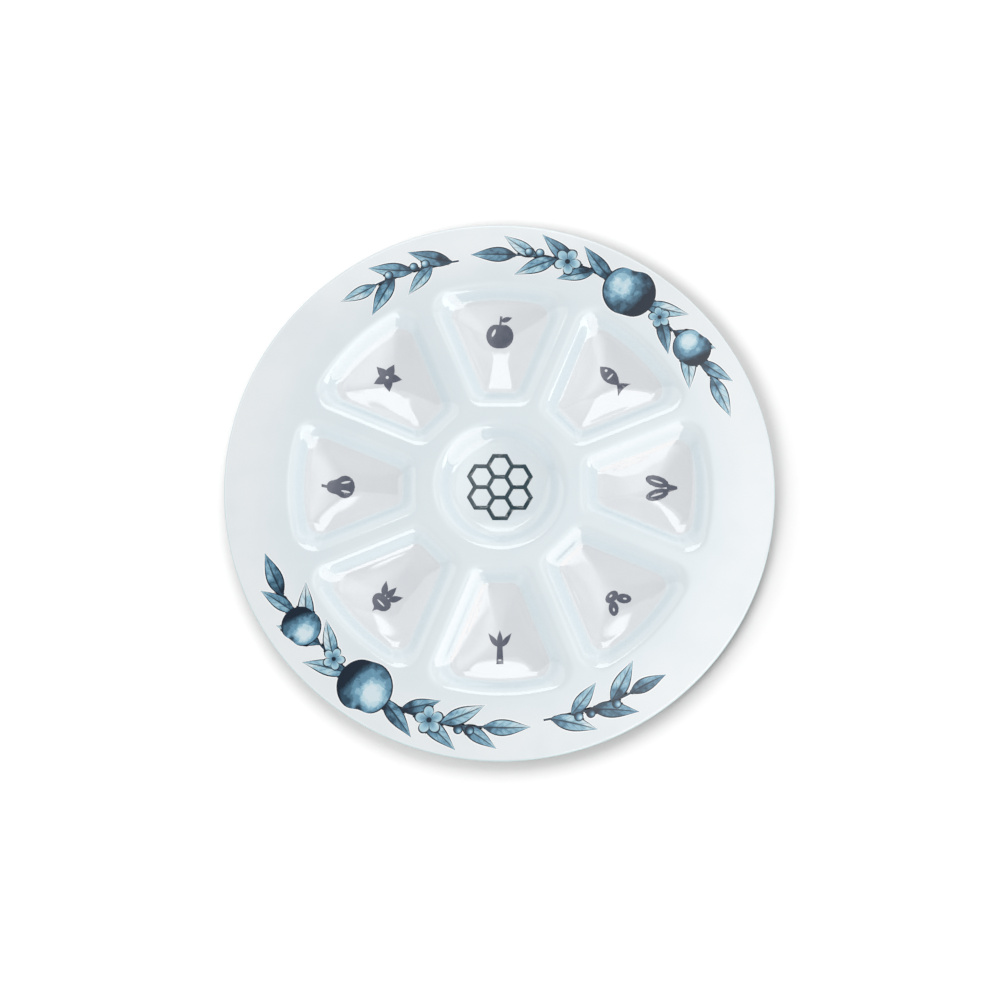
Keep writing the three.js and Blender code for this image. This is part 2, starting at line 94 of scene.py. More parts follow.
def wall_depth(inset, steps=60):
    """How far the face lies below the ridges, at a distance in from a pocket's mouth."""
    step = (inset + LIP_RUN) / steps
    return sum(math.tan(wall_slope(-LIP_RUN + (i + 0.5) * step)) * step for i in range(steps))


TOP = wall_depth(WALL_WIDTH) + POCKET_SAG + GLASS_THICKNESS - FOOT_FLAT
print(f"the face lies {TOP / MM:.2f} mm above the table")

# %% [markdown]
# ## The camera
#
# The plate was photographed from almost straight above, tipped a little towards its lower edge and
# turned a little to the left. A long lens keeps its outline close to a circle. The plate's middle lies a
# little above the middle of the frame, which a small shift of the lens gives.

# %% Place the camera
VIEW_TILT = math.radians(13.4)
VIEW_TURN = math.radians(4)
VIEW_DISTANCE = 1.3
PIXELS_PER_METRE = 1575
FRAME_PIXELS = 1000
MIDDLE_ACROSS, MIDDLE_DOWN = 500.1, 484.5
SENSOR_WIDTH = 36

towards_camera = Vector((
    -math.sin(VIEW_TURN) * math.sin(VIEW_TILT),
    -math.cos(VIEW_TURN) * math.sin(VIEW_TILT),
    math.cos(VIEW_TILT),
))
right = Vector((0, 1, 0)).cross(towards_camera).normalized()
up = towards_camera.cross(right)
camera_data = bpy.data.cameras.new("camera")
camera_data.sensor_width = SENSOR_WIDTH
camera_data.lens = SENSOR_WIDTH * PIXELS_PER_METRE * VIEW_DISTANCE / FRAME_PIXELS
camera_data.shift_x = (FRAME_PIXELS / 2 - MIDDLE_ACROSS) / FRAME_PIXELS
camera_data.shift_y = (MIDDLE_DOWN - FRAME_PIXELS / 2) / FRAME_PIXELS
camera = bpy.data.objects.new("camera", camera_data)
bpy.context.scene.collection.objects.link(camera)
turn = Matrix((right, up, towards_camera)).transposed().to_4x4()
camera.matrix_world = Matrix.Translation(Vector((0, 0, TOP)) + towards_camera * VIEW_DISTANCE) @ turn
bpy.context.scene.camera = camera
print(f"lens {camera_data.lens:.1f} mm")

# %% [markdown]
# ## Sums in a material
#
# A pattern in a material is a chain of small sums. Written node by node they are hard to read, so a
# Wire stands for one socket, and plus, minus and times on it add the Math nodes.

# %% A wire, and one method for every other node
class Wire:
    """A socket whose sums add Math nodes to its tree."""

    def __init__(self, tree, socket):
        self.tree = tree
        self.socket = socket

    def math(self, operation, *values):
        settings = {"operation": operation}
        return add_node(self.tree, "ShaderNodeMath", settings, dict(enumerate([self, *values])))[0]

    def __add__(self, other):
        return self.math("ADD", other)

    def __sub__(self, other):
        return self.math("SUBTRACT", other)

    def __mul__(self, other):
        return self.math("MULTIPLY", other)

    def __truediv__(self, other):
        return self.math("DIVIDE", other)

    def __rsub__(self, other):
        return self.math("MULTIPLY", -1) + other

    __radd__ = __add__
    __rmul__ = __mul__

    def step(self, start, end):
        """0 below start, 1 above end, and a smooth rise between them."""
        settings = {"interpolation_type": "SMOOTHSTEP"}
        low, high = (start, end) if start < end else (end, start)
        rise = add_node(self.tree, "ShaderNodeMapRange", settings, {0: self, 1: low, 2: high, 3: 0, 4: 1})[0]
        return rise if start < end else 1 - rise

    def within(self, low, high, soft):
        """1 between low and high, with soft borders."""
        return self.step(low - soft, low + soft) * self.step(high + soft, high - soft)


def add_node(tree, kind, settings=None, inputs=None):
    """A new node of that kind, as the list of wires of its outputs."""
    node = tree.nodes.new(kind)
    for name, value in (settings or {}).items():
        if name == "stops":
            ramp = node.color_ramp
            while len(ramp.elements) < len(value):
                ramp.elements.new(0.5)
            for element, (place, colour) in zip(ramp.elements, value):
                element.position = place
                element.color = (*colour, 1)
        else:
            setattr(node, name, value)
    for name, value in (inputs or {}).items():
        if isinstance(value, Wire):
            tree.links.new(value.socket, node.inputs[name])
        else:
            node.inputs[name].default_value = value
    return [Wire(tree, socket) for socket in node.outputs]


def mix(tree, factor, first, second):
    """A colour between two, by factor."""
    settings = {"data_type": "RGBA", "clamp_factor": True}
    whole = [(*c, 1) if isinstance(c, tuple) and len(c) == 3 else c for c in (first, second)]
    return add_node(tree, "ShaderNodeMix", settings, {0: factor, 6: whole[0], 7: whole[1]})[2]


def srgb(red, green, blue):
    """A colour as it is read off a screen, 0 to 255, as the light that it stands for."""
    def light(value):
        share = value / 255
        return share / 12.92 if share <= 0.04045 else ((share + 0.055) / 1.055) ** 2.4
    return (light(red), light(green), light(blue))


# %% [markdown]
# ## The studio
#
# Gloss on a white plate only shows as what it mirrors, so the studio is built for the mirror: a plain
# dome lights the plate evenly, and soft boxes of light stand where its bright patches point. They show
# in reflections alone, which keeps the light on the colours plain. A box is written by the two slopes
# of a ray that rises to it, x over z and y over z.

# %% Read a ray by its two slopes
LEAST_RISE = 0.02
world = bpy.data.worlds.new("studio")
bpy.context.scene.world = world
world.use_nodes = True
world.cycles.sampling_method = "NONE"
sky = world.node_tree
sky.nodes.clear()

direction = add_node(sky, "ShaderNodeTexCoord")[0]
east, north, rise = add_node(sky, "ShaderNodeSeparateXYZ", inputs={0: direction})
height = rise.math("MAXIMUM", LEAST_RISE)
slope_east = east / height
slope_north = north / height
print("nodes to read a ray:", len(sky.nodes))

# %% [markdown]
# Behind the plate stand a wide pale card, a narrow bright box before it, which leaves the white patches
# where the floors rise towards the camera, and a dim wall further down.

# %% Hang the lights behind the plate
CARD = 0.75
CARD_EDGE, CARD_TURN = (0.345, 0.36), 0.2
CARD_RIGHT_END = (1.6, 0.5)
CARD_LEFT_FADE, CARD_LEFT_LOSS = (-0.6, -2), 0.4
FAR_BOX = 2.4
FAR_BOX_NORTH, FAR_BOX_EAST = (0.385, 0.8, 0.012), (-0.13, 0.13, 0.015)
FAR_WALL = 0.6
FAR_WALL_FOOT, FAR_WALL_TOP, FAR_WALL_SIDES = (0.76, 0.84), (4, 2.2), (0.38, 0.26)

far_card = (slope_north - slope_east * CARD_TURN).step(*CARD_EDGE) * slope_east.step(*CARD_RIGHT_END) * CARD
far_card = far_card * (1 - slope_east.step(*CARD_LEFT_FADE) * CARD_LEFT_LOSS)
far_box = slope_north.within(*FAR_BOX_NORTH) * slope_east.within(*FAR_BOX_EAST) * FAR_BOX
sideways = slope_east.math("ABSOLUTE") / slope_north.math("MAXIMUM", 0.1)
far_wall = slope_north.step(*FAR_WALL_FOOT) * slope_north.step(*FAR_WALL_TOP)
far_wall = far_wall * sideways.step(*FAR_WALL_SIDES) * FAR_WALL

# %% [markdown]
# A big box hangs at the right and a little to the front, and beside it a round glow, which brightens the
# right side of the rim. In front a weak box lifts the floors that slope down towards the camera.

# %% Hang the lights at the right and in front
RIGHT_BOX = 2.9
RIGHT_BOX_EAST, RIGHT_BOX_NORTH = (0.15, 1.3, 0.03), (-0.75, 0.03, 0.03)
FRONT_BOX = 0.4
FRONT_BOX_EAST, FRONT_BOX_NORTH = (-0.45, 0.12, 0.1), (-0.4, 0.02, 0.07)
GLOW, MOST_GLOW = 2.5, 1.75
GLOW_EAST, GLOW_NORTH, GLOW_REACH = 0.35, 0.12, (0.43, 0.1)
GLOW_FADE, GLOW_LOSS = (0.17, 0.32), 0.5

right_box = slope_east.within(*RIGHT_BOX_EAST) * slope_north.within(*RIGHT_BOX_NORTH) * RIGHT_BOX
front_box = slope_east.within(*FRONT_BOX_EAST) * slope_north.within(*FRONT_BOX_NORTH) * FRONT_BOX
off_east, off_north = slope_east - GLOW_EAST, slope_north - GLOW_NORTH
from_middle = (off_east * off_east + off_north * off_north).math("SQRT")
glow = (from_middle.step(*GLOW_REACH) * GLOW).math("MINIMUM", MOST_GLOW)
glow = glow * (1 - slope_east.step(*GLOW_FADE) * GLOW_LOSS)

# %% [markdown]
# The room itself is dim, with paler walls low down. Only rays of gloss see it all; every other ray sees
# the plain dome, which leans a little to the right, and the camera sees white.

# %% Close the room and light the dome
ROOM = 0.2
RIGHT_WALL, RIGHT_WALL_RISE = 1.2, (0.2, 1)
LEFT_WALL, LEFT_WALL_RISE = 0.5, (-0.2, -1)
FRONT_WALL, FRONT_WALL_RISE = 0.9, (-0.1, -0.9)
DOME_LIGHT = 1.0
DOME_LEAN = 0.16
LEAN_TOWARDS = math.radians(12)

walls = slope_east.step(*RIGHT_WALL_RISE) * RIGHT_WALL + slope_east.step(*LEFT_WALL_RISE) * LEFT_WALL
walls = walls + slope_north.step(*FRONT_WALL_RISE) * FRONT_WALL
mirrored = ROOM + far_card + far_box + far_wall + right_box.math("MAXIMUM", glow) + front_box + walls

path = add_node(sky, "ShaderNodeLightPath")
camera_ray, glossy_ray = path[0], path[3]
towards = east * math.cos(LEAN_TOWARDS) + north * math.sin(LEAN_TOWARDS)
dome = DOME_LIGHT * (1 + DOME_LEAN * towards)
background = glossy_ray * mirrored + (1 - glossy_ray) * dome
level = camera_ray + (1 - camera_ray) * background
shell = add_node(sky, "ShaderNodeBackground", inputs={0: (1, 1, 1, 1), 1: level})[0]
add_node(sky, "ShaderNodeOutputWorld", inputs={0: shell})
print("sky nodes:", len(sky.nodes))

# %% [markdown]
# The steep walls that face the lower right are white right across, but only where they face one spot
# just off the plate's edge: something bright stands close by. A box in the sky would show on every wall
# of the same facing, so this one is a real panel at its real distance, which shows in the gloss alone.

# %% Stand the white panel by the plate
PANEL_PLACE = (0.187, -0.138)
PANEL_FACING = math.radians(143)
PANEL_WIDTH = 0.26
PANEL_FOOT, PANEL_TOP = 0.06, 0.55
PANEL_LIGHT = 3.2
PANEL_TINT = (1.12, 1, 0.94, 1)
PANEL_SOFT = 0.06
bpy.ops.object.select_all(action="DESELECT")
bpy.ops.mesh.primitive_plane_add(size=1, location=(*PANEL_PLACE, (PANEL_FOOT + PANEL_TOP) / 2),
                                 rotation=(0, math.pi / 2, PANEL_FACING))
panel = bpy.context.object
panel.name = "white panel"
panel.scale = (PANEL_TOP - PANEL_FOOT, PANEL_WIDTH, 1)
bpy.ops.object.transform_apply(location=False, rotation=False, scale=True)
panel_finish = bpy.data.materials.new("lit panel")
panel_finish.use_nodes = True
panel_finish.cycles.emission_sampling = "NONE"
tree = panel_finish.node_tree
tree.nodes.clear()
across, along, _ = add_node(tree, "ShaderNodeSeparateXYZ", inputs={
    0: add_node(tree, "ShaderNodeUVMap", {"uv_map": "UVMap"})[0]})
inside = along.step(0, PANEL_SOFT) * along.step(1, 1 - PANEL_SOFT)
inside = inside * across.step(0, PANEL_SOFT) * across.step(1, 1 - PANEL_SOFT)
lit = add_node(tree, "ShaderNodeEmission", inputs={0: PANEL_TINT, 1: inside * PANEL_LIGHT})[0]
add_node(tree, "ShaderNodeOutputMaterial", inputs={0: lit})
panel.data.materials.append(panel_finish)
for sight in ("camera", "diffuse", "transmission", "volume_scatter", "shadow"):
    setattr(panel, "visible_" + sight, False)

# %% [markdown]
# ## The floor
#
# The plate lies on a grey floor that goes on past the frame. The dome and three lamps, behind the plate
# and at its left, together take the floor to pure white, and where the plate hides a lamp its soft
# shadow lies, along the right and below. The lamps light the floor alone, so they leave the plate's own
# shading to the dome. A lamp is written by its tilt from straight above, its bearing, its width in the
# sky and its energy.

# %% Lay the floor and hang the lamps
FLOOR_SIZE = 6
FLOOR_LIGHTNESS = 0.42
SHADOW_LAMPS = {
    "lamp behind": (37.4, 88, 43, 2.74),
    "low lamp at the left": (61.9, 176, 37, 1.89),
    "lamp in front at the left": (41.1, 218.5, 26, 2.45),
}
bpy.ops.object.select_all(action="DESELECT")
bpy.ops.mesh.primitive_plane_add(size=FLOOR_SIZE)
floor = bpy.context.object
floor.name = "floor"
floor_finish = bpy.data.materials.new("floor paint")
floor_finish.use_nodes = True
tree = floor_finish.node_tree
tree.nodes.clear()
matt = add_node(tree, "ShaderNodeBsdfDiffuse", inputs={0: (FLOOR_LIGHTNESS,) * 3 + (1,)})[0]
add_node(tree, "ShaderNodeOutputMaterial", inputs={0: matt})
floor.data.materials.append(floor_finish)

lit_by_lamps = bpy.data.collections.new("lit by the shadow lamps")
lit_by_lamps.objects.link(floor)
for name, (tilt, bearing, width, energy) in SHADOW_LAMPS.items():
    lamp_data = bpy.data.lights.new(name, "SUN")
    lamp_data.energy = energy
    lamp_data.angle = math.radians(width)
    lamp = bpy.data.objects.new(name, lamp_data)
    bpy.context.scene.collection.objects.link(lamp)
    lamp.rotation_euler = (0, math.radians(tilt), math.radians(bearing))
    lamp.light_linking.receiver_collection = lit_by_lamps

# %% [markdown]
# ## The glass
#
# The face could be a flat disc pushed down where the pockets are, but then its squares would cut the lips
# at a slant and the gloss would show it. So the squares follow each pocket: one outline of a rounded
# wedge is extruded again and again, each new loop a little further in and down the wall.

# %% The outline of a wedge
ARC_STEPS, CORNER_STEPS, FLANK_STEPS, END_STEPS = 8, 9, 12, 3


def wedge(inset):
    """The outline of the pocket about +X, anticlockwise from the middle of its outer arc."""
    outer = POCKET_OUTER - inset
    inner = POCKET_INNER + inset
    side = RIDGE_WIDTH / 2 + inset
    shrink = 1 - CORNER_SHRINK * inset
    outer_round, inner_round = OUTER_CORNER * shrink, INNER_CORNER * shrink
    flank = math.pi / 2 + HALF_ANGLE
    reach = outer - outer_round
    turn = HALF_ANGLE - math.asin((side + outer_round) / reach)
    half = [(outer * math.cos(turn * i / ARC_STEPS), outer * math.sin(turn * i / ARC_STEPS))
            for i in range(ARC_STEPS)]
    for i in range(CORNER_STEPS + 1):
        angle = turn + (flank - turn) * i / CORNER_STEPS
        half.append((reach * math.cos(turn) + outer_round * math.cos(angle),
                     reach * math.sin(turn) + outer_round * math.sin(angle)))
    middle_x = inner + inner_round
    middle_y = (middle_x * math.sin(HALF_ANGLE) - side - inner_round) / math.cos(HALF_ANGLE)
    corner = []
    for i in range(CORNER_STEPS + 1):
        angle = flank + (math.pi - flank) * i / CORNER_STEPS
        corner.append((middle_x + inner_round * math.cos(angle),
                       middle_y + inner_round * math.sin(angle)))
    start = half[-1]
    for i in range(1, FLANK_STEPS):
        share = i / FLANK_STEPS
        half.append(tuple(a + (b - a) * share for a, b in zip(start, corner[0])))
    half += corner
    half += [(inner, middle_y * (1 - i / END_STEPS)) for i in range(1, END_STEPS)]
    mirrored_half = [(x, -y) for x, y in reversed(half[1:])]
    return half + [(inner, 0)] + mirrored_half


OVAL_OUT = POCKET_OUTER - WALL_WIDTH - FLOOR_MIDDLE
OVAL_IN = FLOOR_MIDDLE - POCKET_INNER - WALL_WIDTH
OVAL_SIDE = (FLOOR_MIDDLE * math.sin(HALF_ANGLE) - RIDGE_WIDTH / 2 - WALL_WIDTH) / math.cos(HALF_ANGLE)


def floor_wedge(share):
    """The outline at the foot of the wall, shrunk and rounded towards the floor's middle."""
    roundness = 0.8 * (1 - share) ** 0.6
    places = []
    for x, y in wedge(WALL_WIDTH):
        reach = OVAL_OUT if x > FLOOR_MIDDLE else OVAL_IN
        angle = math.atan2(y / OVAL_SIDE, (x - FLOOR_MIDDLE) / reach)
        along = (x - FLOOR_MIDDLE) * (1 - roundness) + reach * math.cos(angle) * roundness
        across = y * (1 - roundness) + OVAL_SIDE * math.sin(angle) * roundness
        places.append((FLOOR_MIDDLE + along * share, across * share))
    return places


def circle(radius, count):
    return [(radius * math.cos(2 * math.pi * i / count), radius * math.sin(2 * math.pi * i / count))
            for i in range(count)]


# %% [markdown]
# Every bowl-like piece here grows the same way. A circle is added, its points are set on the first
# outline, and each further loop is an extrusion whose points are set on the next one. The last loop is
# merged to a point in the middle.

# %% Grow a piece loop by loop
def deselect():
    if bpy.context.object and bpy.context.object.mode == "EDIT":
        bpy.ops.object.mode_set(mode="OBJECT")
    bpy.ops.object.select_all(action="DESELECT")


def place_key(place):
    """A place rounded so that a point and its fresh copy have the same one."""
    return tuple(round(c, 7) for c in place)


def grow(name, loops, closed=True):
    """A surface through the loops of (x, y, z) points, from the outermost in."""
    deselect()
    bpy.ops.mesh.primitive_circle_add(vertices=len(loops[0]), radius=PLATE_RADIUS)
    piece = bpy.context.object
    piece.name = name
    bpy.ops.object.mode_set(mode="EDIT")
    mesh = bmesh.from_edit_mesh(piece.data)
    mesh.verts.ensure_lookup_table()
    now = list(mesh.verts)
    for vertex, place in zip(now, loops[0]):
        vertex.co = place
    for loop in loops[1:]:
        bpy.ops.mesh.extrude_edges_move()
        mesh = bmesh.from_edit_mesh(piece.data)
        order = {place_key(vertex.co): i for i, vertex in enumerate(now)}
        fresh = [None] * len(now)
        for vertex in mesh.verts:
            if vertex.select:
                fresh[order[place_key(vertex.co)]] = vertex
        for vertex, place in zip(fresh, loop):
            vertex.co = place
        now = fresh
    if closed:
        bpy.ops.mesh.merge(type="CENTER")
    bmesh.update_edit_mesh(piece.data)
    bpy.ops.object.mode_set(mode="OBJECT")
    return piece


def copies_round(piece, count):
    """The piece and its copies, turned about the middle of the plate, each with its own mesh."""
    pieces = [piece]
    for i in range(1, count):
        deselect()
        piece.select_set(True)
        bpy.context.view_layer.objects.active = piece
        bpy.ops.object.duplicate()
        copy = bpy.context.object
        copy.data.transform(Matrix.Rotation(2 * math.pi * i / count, 4, "Z"))
        pieces.append(copy)
    return pieces


def join(pieces, name):
    deselect()
    for piece in pieces:
        piece.select_set(True)
    bpy.context.view_layer.objects.active = pieces[0]
    bpy.ops.object.join()
    pieces[0].name = name
    return pieces[0]


# %% [markdown]
# One pocket is enough to shape. Its loops start at the ridges, go down the wall and cross the floor, and
# seven turned copies of it are the other pockets.

# %% Shape one pocket, and copy it round
GUARD = 0.3 * MM
WALL_STEPS = 28
wall_insets = [-LIP_RUN - GUARD] + [-LIP_RUN + (WALL_WIDTH + LIP_RUN) * i / WALL_STEPS
                                    for i in range(WALL_STEPS + 1)]
floor_shares = [0.96, 0.92, 0.87, 0.82, 0.76, 0.7, 0.63, 0.56, 0.48, 0.4, 0.3, 0.2, 0.1, 0.03]


def wall_height(inset):
    return TOP - wall_depth(max(inset, -LIP_RUN))


def floor_height(share, sag):
    return TOP - wall_depth(WALL_WIDTH) - sag * (1 - share ** 2)


def placed(outline, height):
    return [(x, y, height) for x, y in outline]


pocket_loops = [placed(wedge(inset), wall_height(inset)) for inset in wall_insets]
pocket_loops += [placed(floor_wedge(share), floor_height(share, POCKET_SAG)) for share in floor_shares]
pocket = grow("pocket", pocket_loops)
pockets = copies_round(pocket, POCKETS)
print(f"one pocket: {len(pocket_loops)} loops of {len(pocket_loops[0])} points")

# %% [markdown]
# The well has the same wall as the pockets on a plain circle. The rim is only level rings: its outermost
# two loops lie close together, so that the rounding of the edge later has a clean strip to work on.

# %% Shape the well and the rim
WELL_STEPS = 128
RIM_STEPS = 256
EDGE_ROUND = 1.4 * MM
INNER_RIM_LOOPS = (160 * MM, 147 * MM, 138 * MM)

well_loops = [placed(circle(WELL_RADIUS - inset, WELL_STEPS), wall_height(inset))
              for inset in wall_insets]
well_loops += [placed(circle((WELL_RADIUS - WALL_WIDTH) * share, WELL_STEPS), floor_height(share, WELL_SAG))
               for share in floor_shares]
well = grow("well", well_loops)

rim_radii = [PLATE_RADIUS, PLATE_RADIUS - EDGE_ROUND - GUARD, *INNER_RIM_LOOPS]
rim_loops = [[(x, y, TOP) for x, y in circle(radius, RIM_STEPS)] for radius in rim_radii]
rim = grow("rim", rim_loops, closed=False)

# %% [markdown]
# The level sheet between the pockets, the well and the rim is one fill between their open edges. The
# sheet then gets its thickness downwards, the edge is rounded as a polished edge is, and the pockets'
# undersides are pressed flat where they stand on the table.

# %% Fill, thicken and round the sheet
plate = join([rim, *pockets, well], "opal_plate")
bpy.ops.object.mode_set(mode="EDIT")
bpy.ops.mesh.select_mode(type="EDGE")
bpy.ops.mesh.select_all(action="DESELECT")
mesh = bmesh.from_edit_mesh(plate.data)
for edge in mesh.edges:
    outermost = edge.verts[0].co.to_2d().length > PLATE_RADIUS - GUARD
    edge.select = edge.is_boundary and not outermost
bmesh.update_edit_mesh(plate.data)
bpy.ops.mesh.fill()
bpy.ops.mesh.select_all(action="SELECT")
bpy.ops.mesh.normals_make_consistent(inside=False)
bpy.ops.object.mode_set(mode="OBJECT")
upwards = sum(face.normal.z * face.area for face in plate.data.polygons)
if upwards < 0:
    plate.data.flip_normals()

thicken = plate.modifiers.new("thickness", "SOLIDIFY")
thicken.thickness = GLASS_THICKNESS
thicken.offset = -1
thicken.use_even_offset = True
bpy.ops.object.modifier_apply(modifier=thicken.name)

bpy.ops.object.mode_set(mode="EDIT")
bpy.ops.mesh.select_all(action="DESELECT")
mesh = bmesh.from_edit_mesh(plate.data)
for edge in mesh.edges:
    ends = [vertex.co for vertex in edge.verts]
    on_edge = all(end.to_2d().length > PLATE_RADIUS - GUARD / 3 for end in ends)
    edge.select = on_edge and abs(ends[0].z - ends[1].z) < GUARD
bmesh.update_edit_mesh(plate.data)
bpy.ops.mesh.bevel(offset=EDGE_ROUND, segments=5, profile=0.5)
bpy.ops.mesh.select_mode(type="VERT")
bpy.ops.mesh.select_all(action="DESELECT")
mesh = bmesh.from_edit_mesh(plate.data)
for vertex in mesh.verts:
    vertex.select = vertex.co.z < 0
bmesh.update_edit_mesh(plate.data)
bpy.ops.transform.resize(value=(1, 1, 0), center_override=(0, 0, 0))
bpy.ops.object.mode_set(mode="OBJECT")
bpy.ops.object.shade_smooth()
plate.data.calc_loop_triangles()
print("plate:", len(plate.data.loop_triangles), "triangles, box",
      [round(value / MM, 2) for value in plate.dimensions])

# %% [markdown]
# The glass could be modelled as clear glass over a white coat, but at four millimetres the eye only sees
# a milky white with a cool cast, so one opaque finish gives it: paler on the rim, bluer down the walls,
# greener at the cut edge and satin underneath, under the clear gloss of a fire-polished face. Faint
# clouds in the colour and a slow ripple in the gloss keep it from looking like plastic.

# %% The finish of the glass
MIDDLE_WHITE, RIM_WHITE = srgb(225, 233, 237), srgb(233, 237, 239)
WALL_BLUE, CLOUD_BLUE = srgb(213, 227, 233), srgb(206, 221, 227)
EDGE_GREEN = srgb(176, 208, 204)
BACK_WHITE = srgb(226, 232, 233)


def new_finish(name):
    finish = bpy.data.materials.new(name)
    finish.use_nodes = True
    finish.node_tree.nodes.clear()
    return finish, finish.node_tree


opal, tree = new_finish("opal glass")
place, normal = add_node(tree, "ShaderNodeTexCoord")[3], add_node(tree, "ShaderNodeTexCoord")[1]
x, y, _ = add_node(tree, "ShaderNodeSeparateXYZ", inputs={0: place})
lean = add_node(tree, "ShaderNodeSeparateXYZ", inputs={0: normal})[2]
from_centre = (x * x + y * y).math("SQRT")
outwards = from_centre.step(POCKET_OUTER - 6 * MM, POCKET_OUTER + 28 * MM)
colour = mix(tree, outwards, MIDDLE_WHITE, RIM_WHITE)
colour = mix(tree, lean.step(0.985, 0.72), colour, WALL_BLUE)
cloud = add_node(tree, "ShaderNodeTexNoise", inputs={"Vector": place, "Scale": 34, "Detail": 3})[0]
colour = mix(tree, cloud.step(0.3, 0.8) * 0.22, colour, CLOUD_BLUE)
at_edge = from_centre.step(PLATE_RADIUS - 0.7 * MM, PLATE_RADIUS - 0.2 * MM)
colour = mix(tree, at_edge * 0.6, colour, EDGE_GREEN)
beneath = lean.step(0, -0.3)
colour = mix(tree, beneath, colour, BACK_WHITE)
dust = add_node(tree, "ShaderNodeTexNoise", inputs={"Vector": place, "Scale": 1400, "Detail": 2})[0]
ripple = add_node(tree, "ShaderNodeTexNoise", inputs={"Vector": place, "Scale": 55, "Detail": 1})[0]
slow_ripple = add_node(tree, "ShaderNodeBump", inputs={
    "Height": ripple, "Strength": 0.35, "Distance": 0.02 * MM})[0]
shader = add_node(tree, "ShaderNodeBsdfPrincipled", inputs={
    "Base Color": colour, "Roughness": 0.045 + dust * 0.02 + beneath * 0.3,
    "Coat Weight": 0.6 - beneath * 0.5, "Coat Roughness": 0.02, "Normal": slow_ripple,
})[0]
add_node(tree, "ShaderNodeOutputMaterial", inputs={0: shader})
plate.data.materials.clear()
plate.data.materials.append(opal)
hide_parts("glass_plate")
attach(plate, "root")

# %% [markdown]
# ## The grey fields
#
# Each pocket's floor carries a field of pale grey enamel with a crisp edge. A patch in the glass's own
# material would blur at that edge and have no thickness, so each field is a thin skin grown from the same
# outlines as the pocket, a few hundredths of a millimetre above it. The enamel is a little uneven, as a
# screened colour is: broad clouds, and a fine grain where the mesh left its marks.

# %% Lay the grey fields
FIELD_LIFT = 0.06 * MM
FIELD_THICKNESS = 0.04 * MM
FIELD_GREY, THICKER_GREY = srgb(224, 227, 230), srgb(218, 222, 226)
field_insets = [FIELD_INSET] + [inset for inset in wall_insets if inset > FIELD_INSET + GUARD]
field_loops = [placed(wedge(inset), wall_height(inset) + FIELD_LIFT) for inset in field_insets]
field_loops += [placed(floor_wedge(share), floor_height(share, POCKET_SAG) + FIELD_LIFT)
                for share in floor_shares]
field = grow("field", field_loops)
if sum(face.normal.z for face in field.data.polygons) < 0:
    field.data.flip_normals()
skin = field.modifiers.new("skin", "SOLIDIFY")
skin.thickness = FIELD_THICKNESS
bpy.ops.object.modifier_apply(modifier=skin.name)
bpy.ops.object.shade_smooth_by_angle(angle=math.radians(50))
field_finish, tree = new_finish("field enamel")
place = add_node(tree, "ShaderNodeTexCoord")[3]
cloud = add_node(tree, "ShaderNodeTexNoise", inputs={"Vector": place, "Scale": 45, "Detail": 3})[0]
grain = add_node(tree, "ShaderNodeTexNoise", inputs={"Vector": place, "Scale": 1800, "Detail": 2})[0]
unevenness = cloud.step(0.3, 0.75) * 0.6 + grain.step(0.4, 0.75) * 0.3
colour = mix(tree, unevenness, FIELD_GREY, THICKER_GREY)
shader = add_node(tree, "ShaderNodeBsdfPrincipled", inputs={
    "Base Color": colour, "Roughness": 0.045 + grain * 0.02, "Coat Weight": 0.85, "Coat Roughness": 0.02,
    "Coat IOR": 1.55,
})[0]
add_node(tree, "ShaderNodeOutputMaterial", inputs={0: shader})
field.data.materials.append(field_finish)
fields = copies_round(field, POCKETS)
for i, piece in enumerate(fields):
    piece.name = f"grey_field_{i + 1}"
    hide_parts(f"field_print_{i + 1}")
    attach(piece, "root")

# %% [markdown]
# ## The painted garlands
#
# The rim carries two garlands and two small sprigs in washes of blue. Each leaf, apple and blossom is
# shaped flat at the origin, where its own UV map is simple, and then moved to its place on the rim. A
# white figure a little larger than each one lies under it, as the white ground does under such enamels.

# %% The figures' outlines
KEYLINE = 0.8 * MM
GARLAND_RADIUS = 154 * MM
GARLAND_WAVE = 2 * MM
WAVE_LENGTH = 25.7 * MM
STEM_WIDTH = 1.3 * MM
LEAF_LENGTH = 30 * MM
LEAF_WIDTH = 10.5 * MM
SMALL_LEAF = 0.86
LEAF_TURN = 13 * MM / GARLAND_RADIUS
LEAF_BEND = 0.07
OUTER_LEAN, INNER_LEAN = math.radians(20.6), math.radians(31.5)
FIRST_LEAF = 13.1 * MM / GARLAND_RADIUS
STEM_TAIL = 4.6 * MM / GARLAND_RADIUS
APPLE_LEAN = math.radians(17.2)
BERRY_RADIUS = 3 * MM
GARLAND_MIDDLE, SPRIG_MIDDLE = math.radians(57), math.radians(114)
GARLAND_LEAVES, SPRIG_LEAVES = 6, 5


def leaf_half(share, width):
    """Half the width of a leaf, at a share of its length from the stalk."""
    held = min(1, max(0, share))
    return width / 2 * max(0, math.sin(math.pi * held ** 0.75)) ** 1.15


def apple_reach(angle, radius):
    """The apple's outline: a circle with a dip at its stalk and a smaller one at its base."""
    from_top = (angle - math.pi / 2) / 0.38
    from_base = (angle - 3 * math.pi / 2) / 0.35
    return radius * (1 - 0.16 * math.exp(-from_top ** 2) - 0.07 * math.exp(-from_base ** 2))


def blossom_reach(angle, radius):
    return radius * (0.5 + 0.5 * abs(math.cos(2.5 * angle)) ** 0.7)


def stem_radius(angle, middle):
    return GARLAND_RADIUS + GARLAND_WAVE * math.sin((angle - middle) * GARLAND_RADIUS / WAVE_LENGTH)


print("a leaf is", round(LEAF_LENGTH / MM), "mm long")

